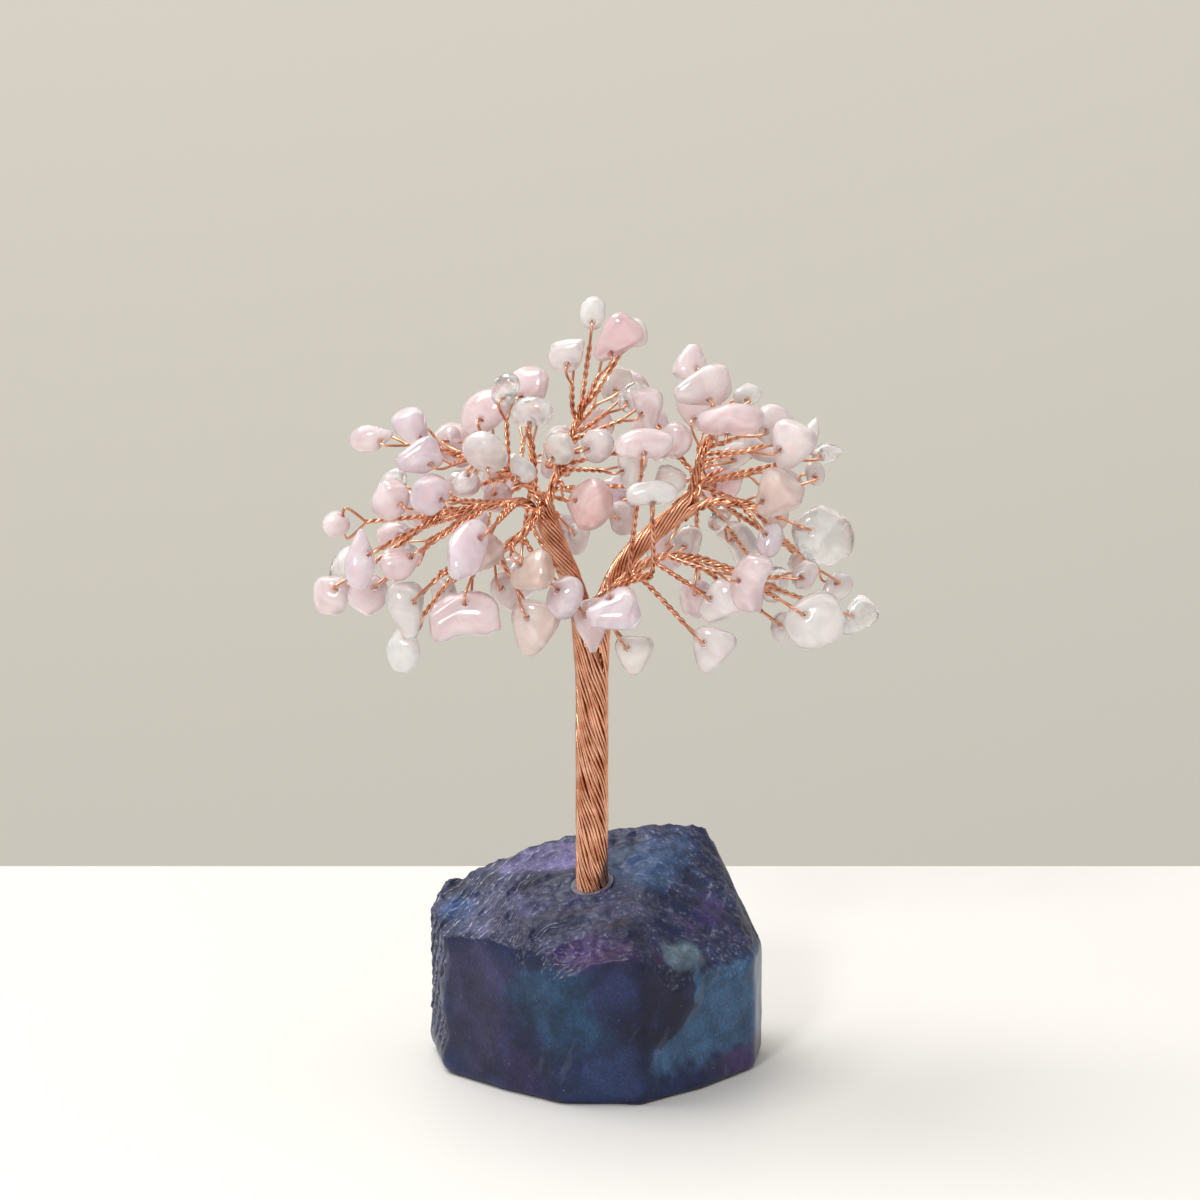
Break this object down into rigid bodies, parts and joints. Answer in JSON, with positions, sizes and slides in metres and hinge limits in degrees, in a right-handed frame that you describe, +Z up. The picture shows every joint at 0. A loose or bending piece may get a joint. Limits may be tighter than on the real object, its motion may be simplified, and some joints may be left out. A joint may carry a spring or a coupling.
{
  "type": "gemstone tree ornament",
  "caption": "Small ornamental tree of twisted copper wire on a raw stone base, its twigs ending in eyes that hold drilled rose quartz chips.",
  "frame": {"origin": "on the flat underside of the base stone, on the trunk's axis", "axes": "+X to the viewer's right, +Y away from the viewer, +Z up along the trunk"},
  "size_m": [0.0907, 0.0465, 0.1272],
  "materials": {
    "fluorite": "raw, cleaved",
    "glue": "clear, set",
    "copper": "bare drawn copper wire",
    "rose_quartz": "tumbled"
  },
  "bodies": {
    "tree": {"base_stone": "fluorite", "setting_glue": "glue", "trunk_core": "copper", "trunk_strands": "copper", "left_limb": "copper", "right_limb": "copper", "crown_bough": "copper", "crown_twigs": "copper", "crown_chips": "rose_quartz", "left_top_bough": "copper", "left_top_twigs": "copper", "left_top_chips": "rose_quartz", "left_side_bough": "copper", "left_side_twigs": "copper", "left_side_chips": "rose_quartz", "left_low_bough": "copper", "left_low_twigs": "copper", "left_low_chips": "rose_quartz", "left_back_bough": "copper", "left_back_twigs": "copper", "left_back_chips": "rose_quartz", "right_top_bough": "copper", "right_top_twigs": "copper", "right_top_chips": "rose_quartz", "right_side_bough": "copper", "right_side_twigs": "copper", "right_side_chips": "rose_quartz", "right_back_bough": "copper", "right_back_twigs": "copper", "right_back_chips": "rose_quartz", "right_low_bough": "copper", "right_low_twigs": "copper", "right_low_chips": "rose_quartz", "front_low_bough": "copper", "front_low_twigs": "copper", "front_low_chips": "rose_quartz"},
    "ring_eye_chip": {"loose_ring_eye_chip": "rose_quartz"},
    "teardrop_chip": {"loose_teardrop_chip": "rose_quartz"},
    "crown_chip": {"loose_crown_chip": "rose_quartz"},
    "top_chip": {"loose_top_chip": "rose_quartz"},
    "left_wedge_chip": {"loose_left_wedge_chip": "rose_quartz"},
    "left_leaf_chip": {"loose_left_leaf_chip": "rose_quartz"},
    "left_long_chip": {"loose_left_long_chip": "rose_quartz"},
    "far_left_chip": {"loose_far_left_chip": "rose_quartz"},
    "left_tip_chip": {"loose_left_tip_chip": "rose_quartz"},
    "pear_chip": {"loose_pear_chip": "rose_quartz"},
    "bean_chip": {"loose_bean_chip": "rose_quartz"},
    "white_hanging_chip": {"loose_white_hanging_chip": "rose_quartz"},
    "left_hanging_chip": {"loose_left_hanging_chip": "rose_quartz"},
    "right_shard_chip": {"loose_right_shard_chip": "rose_quartz"},
    "right_peak_chip": {"loose_right_peak_chip": "rose_quartz"},
    "clear_chip": {"loose_clear_chip": "rose_quartz"},
    "right_hanging_chip": {"loose_right_hanging_chip": "rose_quartz"},
    "hooked_chip": {"loose_hooked_chip": "rose_quartz"},
    "grey_chip": {"loose_grey_chip": "rose_quartz"},
    "far_right_chip": {"loose_far_right_chip": "rose_quartz"},
    "front_hanging_chip": {"loose_front_hanging_chip": "rose_quartz"}
  },
  "joints": [
    {"name": "ring_eye_swing", "type": "hinge", "parent": "tree", "child": "ring_eye_chip", "pos_m": [0.00796, -0.00417, 0.1095], "axis": [-0.1907, -0.9532, -0.2345], "range_deg": [-25, 25]},
    {"name": "teardrop_swing", "type": "hinge", "parent": "tree", "child": "teardrop_chip", "pos_m": [-0.00354, -0.00171, 0.11718], "axis": [-0.2384, -0.9429, -0.2327], "range_deg": [-10, 25]},
    {"name": "crown_swing", "type": "hinge", "parent": "tree", "child": "crown_chip", "pos_m": [0.00295, -0.00258, 0.11917], "axis": [0.1464, -0.9452, -0.2919], "range_deg": [-10, 25]},
    {"name": "top_swing", "type": "hinge", "parent": "tree", "child": "top_chip", "pos_m": [0.00007, 0.00098, 0.12315], "axis": [0.0012, -0.9999, 0.0121], "range_deg": [-25, 25]},
    {"name": "left_wedge_swing", "type": "hinge", "parent": "tree", "child": "left_wedge_chip", "pos_m": [-0.02586, -0.00713, 0.10237], "axis": [0.333, -0.8985, -0.2859], "range_deg": [-25, 25]},
    {"name": "left_leaf_swing", "type": "hinge", "parent": "tree", "child": "left_leaf_chip", "pos_m": [-0.03341, 0.0017, 0.10385], "axis": [-0.2068, -0.9759, -0.0703], "range_deg": [-25, 25]},
    {"name": "left_long_swing", "type": "hinge", "parent": "tree", "child": "left_long_chip", "pos_m": [-0.03536, -0.01097, 0.08787], "axis": [0.3245, -0.8975, 0.2987], "range_deg": [-25, 25]},
    {"name": "far_left_swing", "type": "hinge", "parent": "tree", "child": "far_left_chip", "pos_m": [-0.04051, -0.00119, 0.08005], "axis": [-0.3501, -0.9101, 0.2218], "range_deg": [-25, 25]},
    {"name": "left_tip_swing", "type": "hinge", "parent": "tree", "child": "left_tip_chip", "pos_m": [-0.03947, -0.00389, 0.09145], "axis": [-0.0267, -0.1707, 0.985], "range_deg": [-25, 25]},
    {"name": "pear_swing", "type": "hinge", "parent": "tree", "child": "pear_chip", "pos_m": [-0.01005, -0.00673, 0.07693], "axis": [-0.1266, -0.9874, 0.0952], "range_deg": [-25, 25]},
    {"name": "bean_swing", "type": "hinge", "parent": "tree", "child": "bean_chip", "pos_m": [-0.01982, -0.00869, 0.07917], "axis": [-0.1017, -0.897, 0.4301], "range_deg": [-5, 25]},
    {"name": "white_hanging_swing", "type": "hinge", "parent": "tree", "child": "white_hanging_chip", "pos_m": [-0.0292, -0.00139, 0.0724], "axis": [-0.4163, -0.9092, 0.0106], "range_deg": [-25, 25]},
    {"name": "left_hanging_swing", "type": "hinge", "parent": "tree", "child": "left_hanging_chip", "pos_m": [-0.02824, -0.00745, 0.0793], "axis": [0.0762, -0.919, 0.3867], "range_deg": [-20, 5]},
    {"name": "right_shard_swing", "type": "hinge", "parent": "tree", "child": "right_shard_chip", "pos_m": [0.03618, -0.0011, 0.10202], "axis": [0.1078, -0.9889, -0.1027], "range_deg": [-25, 25]},
    {"name": "right_peak_swing", "type": "hinge", "parent": "tree", "child": "right_peak_chip", "pos_m": [0.01654, 0.00164, 0.11522], "axis": [0.0477, -0.9383, 0.3425], "range_deg": [-25, 25]},
    {"name": "clear_swing", "type": "hinge", "parent": "tree", "child": "clear_chip", "pos_m": [0.03476, -0.00386, 0.09031], "axis": [0.0046, -0.9825, 0.1863], "range_deg": [-25, 25]},
    {"name": "right_hanging_swing", "type": "hinge", "parent": "tree", "child": "right_hanging_chip", "pos_m": [0.01781, -0.00676, 0.07265], "axis": [-0.0592, -0.9878, 0.1438], "range_deg": [-25, 20]},
    {"name": "hooked_swing", "type": "hinge", "parent": "tree", "child": "hooked_chip", "pos_m": [0.02366, -0.0123, 0.08416], "axis": [-0.4422, -0.8906, 0.1062], "range_deg": [-25, 25]},
    {"name": "grey_swing", "type": "hinge", "parent": "tree", "child": "grey_chip", "pos_m": [0.03374, -0.0086, 0.07762], "axis": [-0.0915, -0.9717, 0.2176], "range_deg": [-25, 25]},
    {"name": "far_right_swing", "type": "hinge", "parent": "tree", "child": "far_right_chip", "pos_m": [0.04123, -0.00137, 0.07589], "axis": [0.3419, -0.9337, 0.1063], "range_deg": [-25, 25]},
    {"name": "front_hanging_swing", "type": "hinge", "parent": "tree", "child": "front_hanging_chip", "pos_m": [0.00582, -0.00673, 0.07184], "axis": [-0.1146, -0.9824, 0.1477], "range_deg": [-25, 25]}
  ]
}
